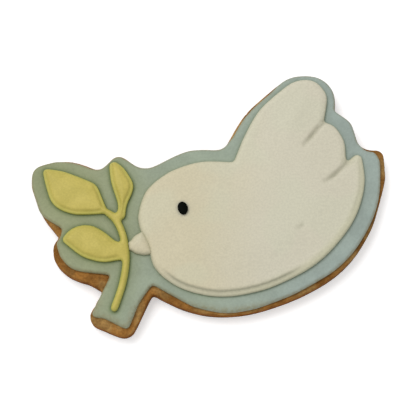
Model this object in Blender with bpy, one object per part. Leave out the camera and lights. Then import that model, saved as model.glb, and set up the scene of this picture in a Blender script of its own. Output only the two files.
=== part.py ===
"""An iced sugar cookie cut as a dove that carries a sprig of leaves.

A rolled biscuit is flooded with blue-green icing. On that lie the dove, puffed up in white
icing, its beak and black eye, and a green sprig: one piped stem and three leaves.

Every outline is a closed chain of bends, as a tin cutter is bent from one strip: straight
runs joined by round bends, each given by its corner and its radius. Icing is a puffed slab:
its height above what it lies on depends on how far a point is from the slab's edge.
Sizes are in millimetres here and become metres where a mesh is made.
"""
import math

import bmesh
import bpy
from mathutils import Vector
from mathutils.geometry import delaunay_2d_cdt, intersect_point_line

NAME = "dove_cookie"
MM = 0.001

# ---- Driving sizes, in millimetres ------------------------------------------------------
GAP = 0.3                    # clearance between two pieces that touch on the real cookie
BISCUIT_THICKNESS = 5.5
BISCUIT_ROUNDING = 1.1       # radius of the biscuit's top and bottom edges
ICING_FOOT = 0.35            # height at which any icing's rounded edge begins
FLOOD_THICKNESS = 1.2        # blue-green icing
FLOOD_INSET = 0.3            # how far the flood stays inside the biscuit along the far edges
FLOOD_SHOULDER = 1.0         # width over which the flood's edge rounds down

DOVE_HEIGHT = 1.6            # white icing, just inside its edge
DOVE_DOME = 0.8              # further rise of the white icing towards its middle
DOVE_DOME_REACH = 14.0       # distance from the edge over which it rises
DOVE_SHOULDER = 1.7
DOVE_RIM_HEIGHT = 0.95       # the first, lower layer that shows along the belly
DOVE_RIM_WIDTH = 1.3
RIM_SHOULDER = 0.5           # width of the rounded edge of a piped rim
BELLY_FROM = (-15.0, -9.0)   # where along X that lower layer comes out at the breast
BELLY_TO = (22.0, 30.0)      # and where it goes in again at the tail
BELLY_BELOW = (-21.0, -16.0)  # it shows only this low on the body
CREASE_DEPTH = 0.75          # grooves between the wing's feathers
CREASE_WIDTH = 0.7

LEAF_RIM_HEIGHT = 0.9        # piped outline of a leaf
LEAF_RIM_WIDTH = 0.9
LEAF_HEIGHT = 1.5            # flooded middle of a leaf
LEAF_DOME = 0.35
LEAF_DOME_REACH = 4.0
LEAF_SHOULDER = 0.9          # width over which the flooded middle rises from the rim
STEM_WIDTH = 2.1
STEM_HEIGHT = 1.35
BEAK_HEIGHT = 1.9
BEAK_SHOULDER = 2.6
EYE_SIZE = (3.0, 4.0, 0.8)   # across, along, high
EYE_PLACE = (-7.45, -1.35)
EYE_TILT = 14.0              # degrees, its top leaning towards the beak

# ---- Sampling ---------------------------------------------------------------------------
BEND_STEP = math.radians(20)     # largest turn between two points of a bend
LONGEST_STEP = 4.0               # longest straight piece of an outline
SHORTEST_STEP = 0.35             # points closer than this are one point

# ---- Outlines: (x, y, radius) of each bend, anticlockwise, +Y away from the cookie's foot -
# The side that the wing, the nape and the large leaf share, from the tail to the leaf's end.
FAR_SIDE = [
    (48.3, 18.2, 6.0), (45.8, 19.8, 3.0), (43.9, 26.8, 5.0), (39.0, 30.5, 1.0),      # feathers
    (39.8, 42.0, 8.4), (25.0, 42.1, 11.0), (11.4, 30.2, 30.0), (4.6, 18.1, 4.0),     # wing
    (-6.0, 18.3, 16.0), (-19.4, 11.4, 6.0), (-27.4, 17.1, 3.0), (-32.7, 11.6, 3.0),  # nape
    (-43.2, 15.5, 16.0), (-53.3, 12.2, 3.8), (-53.3, 6.5, 8.0),                      # large leaf
]
BISCUIT_NEAR_SIDE = [
    (-50.3, -1.9, 20.0), (-44.5, -9.2, 0.8), (-46.0, -11.6, 3.0), (-46.0, -16.2, 7.0),
    (-41.5, -21.1, 13.0), (-35.0, -23.0, 8.0), (-31.0, -25.4, 1.2),                  # lower leaf
    (-35.7, -34.6, 3.0), (-22.9, -39.9, 3.6), (-16.4, -26.2, 0.6),                   # stem's foot
    (-7.3, -30.7, 40.0), (0.0, -32.5, 35.0), (10.8, -32.6, 45.0), (28.0, -27.0, 65.0),
    (42.1, -18.1, 36.0), (49.4, -6.0, 25.0), (53.7, 9.0, 12.0), (53.3, 18.2, 2.4),   # belly, tail
]
FLOOD_NEAR_SIDE = [
    (-50.3, -2.4, 6.0), (-43.4, -6.7, 1.2), (-43.9, -9.3, 1.0), (-45.0, -11.2, 1.5),
    (-43.9, -15.0, 6.0), (-40.5, -19.3, 8.0), (-28.8, -20.8, 0.6),                   # lower leaf
    (-34.3, -33.1, 1.2), (-30.2, -33.7, 3.0), (-23.3, -37.1, 1.3),                   # stem's foot
    (-20.1, -29.0, 12.0), (-16.4, -23.6, 1.2), (-4.5, -30.2, 15.0), (5.0, -32.5, 22.0),
    (14.0, -30.9, 30.0), (25.5, -26.5, 50.0), (41.5, -17.3, 34.0), (51.8, 0.5, 34.0),
    (52.0, 17.6, 3.2),                                                               # belly, tail
]
DOVE = [
    (46.0, 17.2, 1.5), (41.7, 13.6, 0.5), (41.3, 20.2, 7.0), (38.6, 24.9, 5.0),      # feather tips
    (35.3, 26.4, 0.5), (36.6, 35.0, 5.5), (32.9, 39.9, 5.5), (26.6, 40.0, 9.0),      # wing tip
    (15.3, 30.4, 25.0), (10.5, 20.7, 20.0), (7.7, 13.6, 1.2),                        # leading edge
    (-2.5, 14.0, 22.0), (-12.0, 10.6, 20.0), (-19.0, 4.7, 11.0), (-21.1, -3.8, 9.0),  # head
    (-19.9, -7.8, 2.5), (-17.3, -12.5, 12.0), (-16.5, -18.4, 9.0), (-9.9, -24.8, 22.0),
    (3.5, -28.3, 30.0), (17.5, -25.4, 40.0), (33.0, -17.9, 38.0), (44.7, -3.6, 32.0),
    (47.3, 8.0, 20.0),                                                               # belly, tail
]
# A crease runs in from each notch between the feathers and fades out at its last point.
CREASES = [
    [(35.3, 26.4), (33.0, 23.9), (31.0, 21.3), (29.4, 19.3)],
    [(41.7, 13.6), (39.8, 11.2), (37.6, 9.1), (35.4, 7.6)],
]
BEAK = [
    (-23.5, -12.0, 0.9), (-22.0, -14.5, 2.5), (-18.0, -15.1, 0.5), (-18.0, -12.4, 12.0),
    (-20.1, -8.0, 0.5), (-22.2, -9.6, 4.0),
]
LARGE_LEAF = [
    (-49.9, 11.6, 1.1), (-48.5, 6.0, 25.0), (-46.4, -0.2, 7.0), (-40.0, -2.9, 12.0),
    (-30.7, -2.3, 0.6), (-30.2, -1.0, 0.4), (-33.4, 6.7, 4.0), (-43.5, 10.8, 16.0),
]
SMALL_LEAF = [
    (-29.8, 13.5, 1.2), (-29.2, 7.5, 20.0), (-26.7, 0.4, 8.0), (-26.8, -3.0, 0.4),
    (-24.7, -4.2, 0.5), (-24.4, -0.2, 8.0), (-21.8, 6.3, 4.5), (-25.4, 12.0, 9.0), (-27.8, 13.7, 1.1),
]
LOWER_LEAF = [
    (-43.4, -10.5, 1.0), (-37.0, -15.8, 12.0), (-30.5, -17.4, 9.0), (-25.5, -16.2, 0.4),
    (-25.8, -12.2, 0.4), (-30.0, -8.6, 12.0), (-35.5, -4.8, 9.0), (-41.2, -7.4, 8.0),
]
STEM_ROUTE = [(-29.5, -2.3), (-28.0, -3.6), (-26.6, -5.6), (-25.3, -8.6), (-24.5, -12.0),
              (-24.1, -15.5), (-24.3, -19.5), (-25.1, -24.0), (-26.4, -28.3), (-27.3, -30.9)]

BISCUIT_TOP = BISCUIT_THICKNESS
FLOOD_BOTTOM = BISCUIT_TOP + GAP
DECOR_BOTTOM = FLOOD_BOTTOM + FLOOD_THICKNESS + GAP


# ---- Plan geometry ----------------------------------------------------------------------
def inset(bends, distance):
    """An open chain of bends, moved inwards by the same distance all along."""
    moved = []
    for i in range(len(bends)):
        here = Vector(bends[i][:2])
        before = Vector(bends[i - 1][:2]) if i > 0 else here * 2 - Vector(bends[1][:2])
        after = Vector(bends[i + 1][:2]) if i + 1 < len(bends) else here * 2 - Vector(bends[i - 1][:2])
        run_in = (here - before).normalized()
        run_out = (after - here).normalized()
        inward = Vector((-(run_in + run_out).y, (run_in + run_out).x)).normalized()
        reach = distance / max(inward.dot(Vector((-run_in.y, run_in.x))), 0.5)
        turn = run_in.cross(run_out)
        radius = bends[i][2] - math.copysign(distance, turn)
        moved.append((here.x + inward.x * reach, here.y + inward.y * reach, radius))
    return moved


def outline(bends):
    """Points along a closed chain of bends: straight runs joined by arcs."""
    count = len(bends)
    corners = [Vector(bend[:2]) for bend in bends]
    runs = [corners[(i + 1) % count] - corners[i] for i in range(count)]
    turns = [runs[i - 1].angle_signed(runs[i]) * -1 for i in range(count)]
    tangents = [bends[i][2] * math.tan(abs(turns[i]) / 2) for i in range(count)]
    points = []
    for i in range(count):
        room_in = runs[i - 1].length / (tangents[i - 1] + tangents[i])
        room_out = runs[i].length / (tangents[i] + tangents[(i + 1) % count])
        fit = min(1.0, room_in, room_out)
        radius = bends[i][2] * fit
        start = corners[i] - runs[i - 1].normalized() * tangents[i] * fit
        side = math.copysign(1.0, turns[i])
        centre = start + Vector((-runs[i - 1].y, runs[i - 1].x)).normalized() * radius * side
        arc_length = abs(turns[i]) * radius
        steps = max(2, math.ceil(abs(turns[i]) / BEND_STEP), math.ceil(arc_length / LONGEST_STEP))
        arm = start - centre
        for k in range(steps + 1):
            angle = turns[i] * k / steps
            turned = Vector((arm.x * math.cos(angle) - arm.y * math.sin(angle),
                             arm.x * math.sin(angle) + arm.y * math.cos(angle)))
            points.append(centre + turned)
    return thinned(divided(points))


def divided(points):
    """The same closed outline with its long straight runs cut into equal steps."""
    result = []
    for i, here in enumerate(points):
        step = points[(i + 1) % len(points)] - here
        pieces = max(1, math.ceil(step.length / LONGEST_STEP))
        result.extend(here + step * (k / pieces) for k in range(pieces))
    return result


def thinned(points):
    """The same closed outline without points that lie almost on their neighbour."""
    result = []
    for point in points:
        if not result or (point - result[-1]).length > SHORTEST_STEP:
            result.append(point)
    if (result[0] - result[-1]).length < SHORTEST_STEP:
        result.pop()
    return result


def ribbon(route, width):
    """The outline of a piped line with round ends that follows a route."""
    half = width / 2
    left = []
    right = []
    for i, point in enumerate(route):
        ahead = Vector(route[min(i + 1, len(route) - 1)])
        behind = Vector(route[max(i - 1, 0)])
        along = (ahead - behind).normalized()
        across = Vector((-along.y, along.x)) * half
        left.append(Vector(point) + across)
        right.append(Vector(point) - across)
    ends = []
    for centre, rim in ((route[-1], right[-1]), (route[0], left[0])):
        arm = rim - Vector(centre)
        arc = []
        for k in range(1, 6):
            angle = math.pi * k / 6
            arc.append(Vector(centre) + Vector((arm.x * math.cos(angle) - arm.y * math.sin(angle),
                                                arm.x * math.sin(angle) + arm.y * math.cos(angle))))
        ends.append(arc)
    return right + ends[0] + left[::-1] + ends[1]


def distance_to_segment(point, start, end):
    foot, along = intersect_point_line(point, start, end)
    if along < 0:
        foot = start
    if along > 1:
        foot = end
    return (point - foot.to_2d()).length


def edge_distance(point, edge):
    """How far a point is from a closed outline."""
    return min(distance_to_segment(point, edge[i - 1], edge[i]) for i in range(len(edge)))


def inside(point, edge):
    """Whether a point is inside a closed outline, by counting crossings."""
    crossings = 0
    for i in range(len(edge)):
        a = edge[i - 1]
        b = edge[i]
        if (a.y > point.y) != (b.y > point.y):
            crossings += point.x < a.x + (point.y - a.y) * (b.x - a.x) / (b.y - a.y)
    return crossings % 2 == 1


def smooth(value):
    """0 below 0, 1 above 1 and an even S between."""
    value = min(max(value, 0.0), 1.0)
    return value * value * (3 - 2 * value)


def shoulder(distance, width):
    """Rise of a rounded edge: 0 at the edge, 1 from width inwards."""
    short = 1 - min(distance / width, 1.0)
    return math.sqrt(1 - short * short)


# ---- Meshes -----------------------------------------------------------------------------
def material(name, colour, roughness):
    """A matte food surface of one colour."""
    surface = bpy.data.materials.new(name)
    surface.use_nodes = True
    shader = surface.node_tree.nodes["Principled BSDF"]
    shader.inputs["Base Color"].default_value = (*colour, 1.0)
    shader.inputs["Roughness"].default_value = roughness
    shader.inputs["Metallic"].default_value = 0.0
    return surface


def add_object(name, mesh, surface):
    """Put a mesh in the cookie's collection, under its root empty."""
    mesh.materials.clear()
    mesh.materials.append(surface)
    mesh.shade_smooth()
    mesh.set_sharp_from_angle(angle=math.radians(50))
    piece = bpy.data.objects.new(name, mesh)
    collection.objects.link(piece)
    piece.parent = root
    return piece


def rings_inside(edge, distances):
    """Points on lines that follow an outline at the given distances inside it."""
    points = []
    for distance in distances:
        for i, here in enumerate(edge):
            along = edge[(i + 1) % len(edge)] - edge[i - 1]
            point = here + Vector((-along.y, along.x)).normalized() * distance
            if inside(point, edge) and edge_distance(point, edge) > distance * 0.93:
                points.append(point)
    return points


def field_inside(edge, spacing, margin):
    """Evenly spread points at least a margin inside an outline."""
    points = []
    row_height = spacing * math.sqrt(3) / 2
    low = Vector((min(p.x for p in edge), min(p.y for p in edge)))
    high = Vector((max(p.x for p in edge), max(p.y for p in edge)))
    for row in range(int((high.y - low.y) / row_height) + 1):
        for column in range(int((high.x - low.x) / spacing) + 1):
            point = low + Vector(((column + row % 2 / 2) * spacing, row * row_height))
            if inside(point, edge) and edge_distance(point, edge) > margin:
                points.append(point)
    return points


def puffed_slab(name, edge, bottom, height, inner_points, surface):
    """A slab of icing: flat below, and above as high as height(distance from edge, point)."""
    points = list(edge) + inner_points
    border = list(range(len(edge)))
    top_points, _, top_faces, _, _, _ = delaunay_2d_cdt(points, [], [border], 1, 1e-6)
    floor_points, _, floor_faces, _, _, _ = delaunay_2d_cdt(list(edge), [], [border], 1, 1e-6)
    form = bmesh.new()
    top = []
    for point in top_points:
        level = bottom + height(edge_distance(point, edge), point)
        top.append(form.verts.new((point.x * MM, point.y * MM, level * MM)))
    floor = [form.verts.new((p.x * MM, p.y * MM, bottom * MM)) for p in floor_points]
    for face in top_faces:
        form.faces.new([top[i] for i in face])
    for face in floor_faces:
        form.faces.new([floor[i] for i in reversed(face)])
    rims = [e for e in form.edges if e.is_boundary]
    bmesh.ops.bridge_loops(form, edges=rims)
    bmesh.ops.recalc_face_normals(form, faces=form.faces)
    bmesh.ops.triangulate(form, faces=form.faces)
    mesh = bpy.data.meshes.new(name)
    form.to_mesh(mesh)
    form.free()
    return add_object(name, mesh, surface)


# ---- Sub-parts --------------------------------------------------------------------------
def make_biscuit(surface):
    """The rolled and cut dough: a flat slab with rounded top and bottom edges."""
    edge = outline(FAR_SIDE + BISCUIT_NEAR_SIDE)
    curve = bpy.data.curves.new("biscuit_outline", "CURVE")
    curve.dimensions = "2D"
    curve.fill_mode = "BOTH"
    curve.bevel_depth = BISCUIT_ROUNDING * MM
    curve.bevel_resolution = 2
    curve.offset = -BISCUIT_ROUNDING * MM
    curve.extrude = (BISCUIT_THICKNESS / 2 - BISCUIT_ROUNDING) * MM
    spline = curve.splines.new("POLY")
    spline.points.add(len(edge) - 1)
    for knot, point in zip(spline.points, edge):
        knot.co = (point.x * MM, point.y * MM, 0.0, 1.0)
    spline.use_cyclic_u = True
    guide = bpy.data.objects.new("biscuit_outline", curve)
    collection.objects.link(guide)
    guide.location.z = BISCUIT_THICKNESS / 2 * MM
    depsgraph = bpy.context.evaluated_depsgraph_get()
    mesh = bpy.data.meshes.new_from_object(guide.evaluated_get(depsgraph))
    mesh.name = "biscuit"
    form = bmesh.new()
    form.from_mesh(mesh)
    bmesh.ops.remove_doubles(form, verts=form.verts, dist=0.00001)
    form.to_mesh(mesh)
    form.free()
    biscuit = add_object("biscuit", mesh, surface)
    biscuit.location.z = guide.location.z
    bpy.data.objects.remove(guide)
    return biscuit


def make_flood(surface):
    """The blue-green icing over the biscuit's whole top, level with a rounded edge."""
    edge = outline(inset(FAR_SIDE, FLOOD_INSET) + FLOOD_NEAR_SIDE)

    def height(distance, point):
        return ICING_FOOT + (FLOOD_THICKNESS - ICING_FOOT) * shoulder(distance, FLOOD_SHOULDER)

    inner = rings_inside(edge, (FLOOD_SHOULDER * 0.3, FLOOD_SHOULDER))
    return puffed_slab("blue_flood", edge, FLOOD_BOTTOM, height, inner, surface)


def ramp(value, limits):
    """A smooth 0 to 1 between two limits."""
    return smooth((value - limits[0]) / (limits[1] - limits[0]))


def rim_and_middle(distance, rim_height, rim_width, full_height, middle_shoulder):
    """Height of icing with a low piped rim and a higher flooded middle."""
    rim = ICING_FOOT + (rim_height - ICING_FOOT) * shoulder(distance, RIM_SHOULDER)
    return rim + (full_height - rim_height) * shoulder(max(distance - rim_width, 0), middle_shoulder)


def crease_depth(point):
    """How deep the grooves between the feathers are at a point."""
    depth = 0.0
    for crease in CREASES:
        for i in range(len(crease) - 1):
            start = Vector(crease[i])
            end = Vector(crease[i + 1])
            _, along = intersect_point_line(point, start, end)
            if 0 <= along <= 1:
                away = distance_to_segment(point, start, end) / CREASE_WIDTH
                fade = 1 - (i + along) / (len(crease) - 1)
                depth = max(depth, CREASE_DEPTH * fade * math.exp(-away * away))
    return depth


def dove_height(distance, point):
    """The white icing: a rounded edge, a low dome, a rim at the belly and two creases."""
    plain = ICING_FOOT + (DOVE_HEIGHT - ICING_FOOT) * shoulder(distance, DOVE_SHOULDER)
    stepped = rim_and_middle(distance, DOVE_RIM_HEIGHT, DOVE_RIM_WIDTH, DOVE_HEIGHT, 1.0)
    belly = ramp(point.x, BELLY_FROM) * (1 - ramp(point.x, BELLY_TO)) * (1 - ramp(point.y, BELLY_BELOW))
    level = plain + (stepped - plain) * belly + DOVE_DOME * smooth(distance / DOVE_DOME_REACH)
    return max(level - crease_depth(point), ICING_FOOT)


def make_dove(surface):
    """Body, wing and tail of the dove, poured as one."""
    edge = outline(DOVE)
    inner = rings_inside(edge, (RIM_SHOULDER, DOVE_RIM_WIDTH, DOVE_RIM_WIDTH * 2))
    inner += field_inside(edge, spacing=4.5, margin=4.2)
    for crease in CREASES:
        for i in range(len(crease) - 1):
            start = Vector(crease[i])
            run = Vector(crease[i + 1]) - start
            across = Vector((-run.y, run.x)).normalized() * CREASE_WIDTH
            for along in (0.35, 0.85):
                inner += [start + run * along + across * side for side in (-1, 0, 1)]
    inner = [p for p in inner if inside(p, edge) and edge_distance(p, edge) > SHORTEST_STEP]
    return puffed_slab("white_dove", edge, DECOR_BOTTOM, dove_height, inner, surface)


def make_leaf(name, bends, surface):
    """A leaf: a piped rim, filled with a higher, domed middle."""
    edge = outline(bends)

    def height(distance, point):
        level = rim_and_middle(distance, LEAF_RIM_HEIGHT, LEAF_RIM_WIDTH, LEAF_HEIGHT, LEAF_SHOULDER)
        return level + LEAF_DOME * smooth(distance / LEAF_DOME_REACH)

    inner = rings_inside(edge, (RIM_SHOULDER, LEAF_RIM_WIDTH, LEAF_RIM_WIDTH + LEAF_SHOULDER))
    inner += field_inside(edge, spacing=2.6, margin=2.4)
    return puffed_slab(name, edge, DECOR_BOTTOM, height, inner, surface)


def make_stem(surface):
    """The sprig's stem: one piped bead, round on top."""
    edge = thinned(divided(ribbon(STEM_ROUTE, STEM_WIDTH)))

    def height(distance, point):
        return ICING_FOOT + (STEM_HEIGHT - ICING_FOOT) * shoulder(distance, STEM_WIDTH / 2)

    inner = rings_inside(edge, (STEM_WIDTH * 0.15, STEM_WIDTH * 0.32))
    inner += [Vector(point) for point in STEM_ROUTE]
    return puffed_slab("stem", edge, DECOR_BOTTOM, height, inner, surface)


def make_beak(surface):
    """The beak: a small pointed drop of white icing against the head."""
    edge = outline(BEAK)

    def height(distance, point):
        return ICING_FOOT + (BEAK_HEIGHT - ICING_FOOT) * shoulder(distance, BEAK_SHOULDER)

    inner = rings_inside(edge, (0.4, 1.0)) + field_inside(edge, spacing=1.5, margin=1.5)
    return puffed_slab("beak", edge, DECOR_BOTTOM, height, inner, surface)


def make_eye(surface):
    """The eye: a black dot that dried as a low oval dome."""
    across, along, high = EYE_SIZE
    tilt = math.radians(EYE_TILT)
    dove_edge = outline(DOVE)
    place = Vector(EYE_PLACE)
    resting = DECOR_BOTTOM + GAP + max(
        dove_height(edge_distance(place + offset, dove_edge), place + offset)
        for offset in (Vector((0, along / 2)), Vector((0, -along / 2)), Vector((across / 2, 0))))
    form = bmesh.new()
    bmesh.ops.create_uvsphere(form, u_segments=20, v_segments=10, radius=1.0)
    below = [v for v in form.verts if v.co.z < -0.01]
    bmesh.ops.delete(form, geom=below, context="VERTS")
    bmesh.ops.holes_fill(form, edges=[e for e in form.edges if e.is_boundary])
    for vert in form.verts:
        vert.co = (vert.co.x * across / 2 * MM, vert.co.y * along / 2 * MM, vert.co.z * high * MM)
    bmesh.ops.recalc_face_normals(form, faces=form.faces)
    bmesh.ops.triangulate(form, faces=form.faces)
    mesh = bpy.data.meshes.new("eye")
    form.to_mesh(mesh)
    form.free()
    eye = add_object("eye", mesh, surface)
    eye.location = (place.x * MM, place.y * MM, resting * MM)
    eye.rotation_euler.z = tilt
    return eye


# ---- Assembly ---------------------------------------------------------------------------
for leftover in list(bpy.data.objects):
    bpy.data.objects.remove(leftover)
collection = bpy.data.collections.new(NAME)
bpy.context.scene.collection.children.link(collection)
root = bpy.data.objects.new(NAME, None)
collection.objects.link(root)

baked_dough = material("baked_dough", (0.34, 0.17, 0.05), 0.8)
blue_icing = material("blue_icing", (0.33, 0.41, 0.36), 0.55)
white_icing = material("white_icing", (0.62, 0.57, 0.42), 0.55)
green_icing = material("green_icing", (0.52, 0.44, 0.10), 0.55)
black_icing = material("black_icing", (0.004, 0.005, 0.004), 0.35)

make_biscuit(baked_dough)
make_flood(blue_icing)
make_dove(white_icing)
make_beak(white_icing)
make_eye(black_icing)
make_stem(green_icing)
make_leaf("leaf_large", LARGE_LEAF, green_icing)
make_leaf("leaf_small", SMALL_LEAF, green_icing)
make_leaf("leaf_lower", LOWER_LEAF, green_icing)

# The origin is under the middle of the biscuit's box, on the surface that it lies on.
cut_edge = outline(FAR_SIDE + BISCUIT_NEAR_SIDE)
middle_x = (min(p.x for p in cut_edge) + max(p.x for p in cut_edge)) / 2
middle_y = (min(p.y for p in cut_edge) + max(p.y for p in cut_edge)) / 2
root.location = (-middle_x * MM, -middle_y * MM, 0.0)
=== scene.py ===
# %% [markdown]
# # An iced sugar cookie: a dove with a sprig of leaves
# The cookie is a rolled biscuit under four colours of royal icing. Icing that has dried is a
# puffed slab: it has a rounded edge, and it is higher the further a point lies from that edge.
# So the lesson builds one rule for icing, as a Geometry Nodes tree, and feeds it outlines.
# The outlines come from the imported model, which is loaded first and never moved.

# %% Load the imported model
import math

import bmesh
import bpy
import numpy as np
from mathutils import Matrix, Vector
from mathutils.geometry import delaunay_2d_cdt


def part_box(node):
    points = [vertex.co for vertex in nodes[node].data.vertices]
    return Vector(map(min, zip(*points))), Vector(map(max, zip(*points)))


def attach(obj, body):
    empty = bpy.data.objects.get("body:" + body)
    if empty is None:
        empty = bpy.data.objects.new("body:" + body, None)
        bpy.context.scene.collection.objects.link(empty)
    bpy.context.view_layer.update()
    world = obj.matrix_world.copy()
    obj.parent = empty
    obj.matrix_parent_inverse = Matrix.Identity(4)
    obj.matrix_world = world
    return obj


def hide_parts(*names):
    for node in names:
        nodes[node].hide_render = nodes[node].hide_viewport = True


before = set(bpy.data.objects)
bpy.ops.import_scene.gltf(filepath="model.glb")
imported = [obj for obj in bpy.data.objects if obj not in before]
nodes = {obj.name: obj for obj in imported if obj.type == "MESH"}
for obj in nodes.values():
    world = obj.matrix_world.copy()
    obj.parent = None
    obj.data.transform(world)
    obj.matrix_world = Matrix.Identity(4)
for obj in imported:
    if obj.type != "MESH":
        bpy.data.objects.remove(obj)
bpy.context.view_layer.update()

MM = 0.001
print("nodes:", ", ".join(sorted(nodes)))

# %% [markdown]
# ## Camera and light
# The cookie lies on a table and is seen from almost straight above, a little from its foot,
# with a lens that is long enough to keep its shape true. A broad lamp hangs high at the upper
# left and draws a soft shade along the right side of every bead of icing. The room fills in
# the rest, so that a colour renders about as it is written.

# %% Camera
TILT_FROM_FLAT = math.radians(75)
VIEW_DISTANCE = 0.350
SENSOR_WIDTH = 36.0
VIEW_WIDTH = 0.1248            # how much of the table the picture is wide

PLAN_ZERO = np.array([-0.16, -1.61])    # where the plan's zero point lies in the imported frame
LOOK_HEIGHT = 5.0

target = Vector((*PLAN_ZERO, LOOK_HEIGHT)) * MM
towards_camera = Vector((0.0, -math.cos(TILT_FROM_FLAT), math.sin(TILT_FROM_FLAT)))
camera_data = bpy.data.cameras.new("camera")
camera_data.sensor_width = SENSOR_WIDTH
camera_data.lens = SENSOR_WIDTH * VIEW_DISTANCE / VIEW_WIDTH
camera = bpy.data.objects.new("camera", camera_data)
camera.location = target + towards_camera * VIEW_DISTANCE
camera.rotation_euler = towards_camera.to_track_quat("Z", "Y").to_euler()
bpy.context.scene.collection.objects.link(camera)
bpy.context.scene.camera = camera
print("lens", round(camera_data.lens, 1), "mm")

# %% Light
LAMP_PLACE = Vector((-0.72, 0.62, 1.74))
LAMP_SIZE = 1.10
LAMP_POWER = 17.6
WORLD_STRENGTH = 0.66

lamp_data = bpy.data.lights.new("window", "AREA")
lamp_data.shape = "SQUARE"
lamp_data.size = LAMP_SIZE
lamp_data.energy = LAMP_POWER
lamp = bpy.data.objects.new("window", lamp_data)
lamp.location = LAMP_PLACE
lamp.rotation_euler = LAMP_PLACE.to_track_quat("Z", "Y").to_euler()
bpy.context.scene.collection.objects.link(lamp)

world = bpy.data.worlds.new("room")
world.use_nodes = True
sky = world.node_tree.nodes["Background"]
sky.inputs["Color"].default_value = (1.0, 1.0, 1.0, 1.0)
bpy.context.scene.world = world
bpy.context.scene.view_settings.view_transform = "Standard"

# %% [markdown]
# ## Small helpers for node trees
# A node tree is easier to read when each node is one call. These helpers add a node, give its
# inputs a value or a link, and hand back the node or its first output.

# %% Node helpers
def add_node(tree, kind, *inputs, **settings):
    """A node of a kind, with its inputs in order: a socket to link, a value, or None."""
    made = tree.nodes.new(kind)
    for name, value in settings.items():
        setattr(made, name, value)
    for socket, value in zip(made.inputs, inputs):
        if isinstance(value, bpy.types.NodeSocket):
            tree.links.new(value, socket)
        elif value is not None:
            socket.default_value = value
    return made


def calc(tree, operation, *values):
    """The result of one sum."""
    return add_node(tree, "ShaderNodeMath", *values, operation=operation).outputs[0]


def vector_calc(tree, operation, *values, output=0):
    """The result of one sum on vectors."""
    made = add_node(tree, "ShaderNodeVectorMath", *values, operation=operation)
    return made.outputs[output]


def remap(tree, value, low, high, to_low=0.0, to_high=1.0, kind="SMOOTHSTEP"):
    """A value between two limits turned smoothly into a value between two others."""
    made = add_node(tree, "ShaderNodeMapRange", value, low, high, to_low, to_high)
    made.interpolation_type = kind
    return made.outputs[0]


# %% [markdown]
# ## Room and table
# The room is an even light all round. The camera alone sees it as plain white. The table only
# catches the cookie's shadow: its colour is near white, and for the camera a little light of
# its own lifts it to white where nothing shades it.

# %% Room
room_rays = add_node(world.node_tree, "ShaderNodeLightPath").outputs["Is Camera Ray"]
seen_or_lit = remap(world.node_tree, room_rays, 0.0, 1.0, WORLD_STRENGTH, 1.0, kind="LINEAR")
world.node_tree.links.new(seen_or_lit, sky.inputs["Strength"])

# %% Table
TABLE_SIZE = 3.0
TABLE_LIFT = 0.36

table_mesh = bpy.data.meshes.new("table")
half = TABLE_SIZE / 2
table_mesh.from_pydata([(-half, -half, 0), (half, -half, 0), (half, half, 0), (-half, half, 0)],
                       [], [(0, 1, 2, 3)])
table = bpy.data.objects.new("table", table_mesh)
bpy.context.scene.collection.objects.link(table)

paint = bpy.data.materials.new("table_paint")
paint.use_nodes = True
tree = paint.node_tree
tree.nodes.clear()
rays = tree.nodes.new("ShaderNodeLightPath")
seen = calc(tree, "MAXIMUM", rays.outputs["Is Camera Ray"], rays.outputs["Is Glossy Ray"])
diffuse = add_node(tree, "ShaderNodeBsdfDiffuse", (0.88, 0.88, 0.88, 1.0))
glow = calc(tree, "MULTIPLY", seen, TABLE_LIFT)
lift = add_node(tree, "ShaderNodeEmission", (1.0, 1.0, 1.0, 1.0), glow)
both = add_node(tree, "ShaderNodeAddShader", diffuse.outputs[0], lift.outputs[0])
out = add_node(tree, "ShaderNodeOutputMaterial", both.outputs[0])
table_mesh.materials.append(paint)

# %% [markdown]
# ## Reading an outline
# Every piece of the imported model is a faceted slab, and its outline is the ring of edges around
# its foot. The ring is walked once round, and a smooth curve is laid through its corners, so
# that the fine mesh has no flats. Plan work is done in millimetres and in two axes.

# %% Outline helpers
def ring_at(node, level):
    """The closed ring of a node's outline vertices that lie at one height, in millimetres."""
    form = bmesh.new()
    form.from_mesh(node.data)
    bmesh.ops.remove_doubles(form, verts=form.verts, dist=1e-6)
    form.normal_update()
    follow = {}
    for edge in form.edges:
        if all(abs(v.co.z - level) < 1e-6 for v in edge.verts):
            if not all(abs(f.normal.z) > 0.99 for f in edge.link_faces):
                a, b = edge.verts
                follow.setdefault(a, []).append(b)
                follow.setdefault(b, []).append(a)
    start = min(follow, key=lambda v: (v.co.x, v.co.y))
    ring = [start]
    here, last = follow[start][0], start
    while here is not start:
        ring.append(here)
        ahead = [v for v in follow[here] if v is not last]
        last, here = here, ahead[0]
    points = np.array([[v.co.x, v.co.y] for v in ring]) / MM
    form.free()
    nxt = np.roll(points, -1, axis=0)
    area = np.sum(points[:, 0] * nxt[:, 1] - nxt[:, 0] * points[:, 1])
    return points if area > 0 else points[::-1]


def resampled(points, spacing):
    """A closed outline with evenly spaced points."""
    closed = np.vstack([points, points[:1]])
    travelled = np.concatenate([[0], np.cumsum(np.hypot(*np.diff(closed, axis=0).T))])
    count = max(8, int(round(travelled[-1] / spacing)))
    at = np.linspace(0, travelled[-1], count, endpoint=False)
    return np.stack([np.interp(at, travelled, closed[:, k]) for k in (0, 1)], axis=1)


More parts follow.
